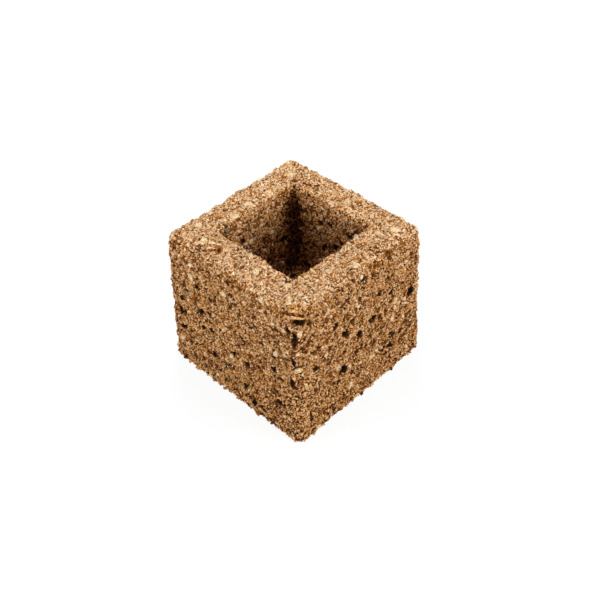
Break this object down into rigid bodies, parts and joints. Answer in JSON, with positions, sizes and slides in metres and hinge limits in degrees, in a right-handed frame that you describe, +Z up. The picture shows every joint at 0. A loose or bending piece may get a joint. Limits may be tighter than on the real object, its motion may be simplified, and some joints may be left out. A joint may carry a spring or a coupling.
{
  "type": "propagation cube",
  "caption": "Pressed growing block of coir, peat and husk with a square tapered pocket in its top for a starter plug.",
  "frame": {"origin": "middle of the flat base, on the surface that the block stands on", "axes": "+Z up out of the pocket's mouth; -Y and +X are the two walls that the picture shows, and all four walls are alike"},
  "size_m": [0.0805, 0.0806, 0.0713],
  "materials": {
    "coir_block": "dry pressed coir and peat, matt, granular and open-pored",
    "husk_chip": "pale cut coconut husk, matt",
    "grey_chip": "weathered grey coconut husk, matt"
  },
  "bodies": {
    "root": {"block_body": "coir_block", "husk_chip_front_1": "husk_chip", "husk_chip_front_2": "husk_chip", "husk_chip_front_3": "husk_chip", "husk_chip_front_4": "husk_chip", "husk_chip_front_5": "husk_chip", "husk_chip_front_6": "husk_chip", "husk_chip_right_1": "husk_chip", "husk_chip_right_2": "husk_chip", "husk_chip_right_3": "husk_chip", "husk_chip_right_4": "husk_chip", "husk_chip_right_5": "husk_chip", "husk_chip_right_6": "husk_chip", "husk_chip_back_1": "husk_chip", "husk_chip_back_2": "husk_chip", "husk_chip_back_3": "husk_chip", "husk_chip_back_4": "husk_chip", "husk_chip_back_5": "husk_chip", "husk_chip_back_6": "husk_chip", "husk_chip_left_1": "husk_chip", "husk_chip_left_2": "husk_chip", "husk_chip_left_3": "husk_chip", "husk_chip_left_4": "husk_chip", "husk_chip_left_5": "husk_chip", "husk_chip_left_6": "husk_chip", "husk_chip_rim_front_1": "husk_chip", "husk_chip_rim_front_2": "husk_chip", "husk_chip_rim_front_3": "husk_chip", "husk_chip_rim_front_4": "husk_chip", "husk_chip_rim_right_1": "husk_chip", "husk_chip_rim_right_2": "husk_chip", "husk_chip_rim_right_3": "husk_chip", "husk_chip_rim_back_1": "husk_chip", "husk_chip_rim_back_2": "husk_chip", "husk_chip_rim_left_1": "husk_chip", "husk_chip_rim_left_2": "husk_chip", "husk_chip_rim_left_3": "husk_chip", "husk_chip_rim_left_4": "husk_chip", "husk_chip_pocket_back_1": "husk_chip", "husk_chip_pocket_back_2": "husk_chip", "husk_chip_pocket_left_1": "husk_chip", "husk_chip_pocket_left_2": "husk_chip", "husk_chip_pocket_left_3": "husk_chip", "grey_chip_pocket_corner": "grey_chip"}
  },
  "joints": []
}
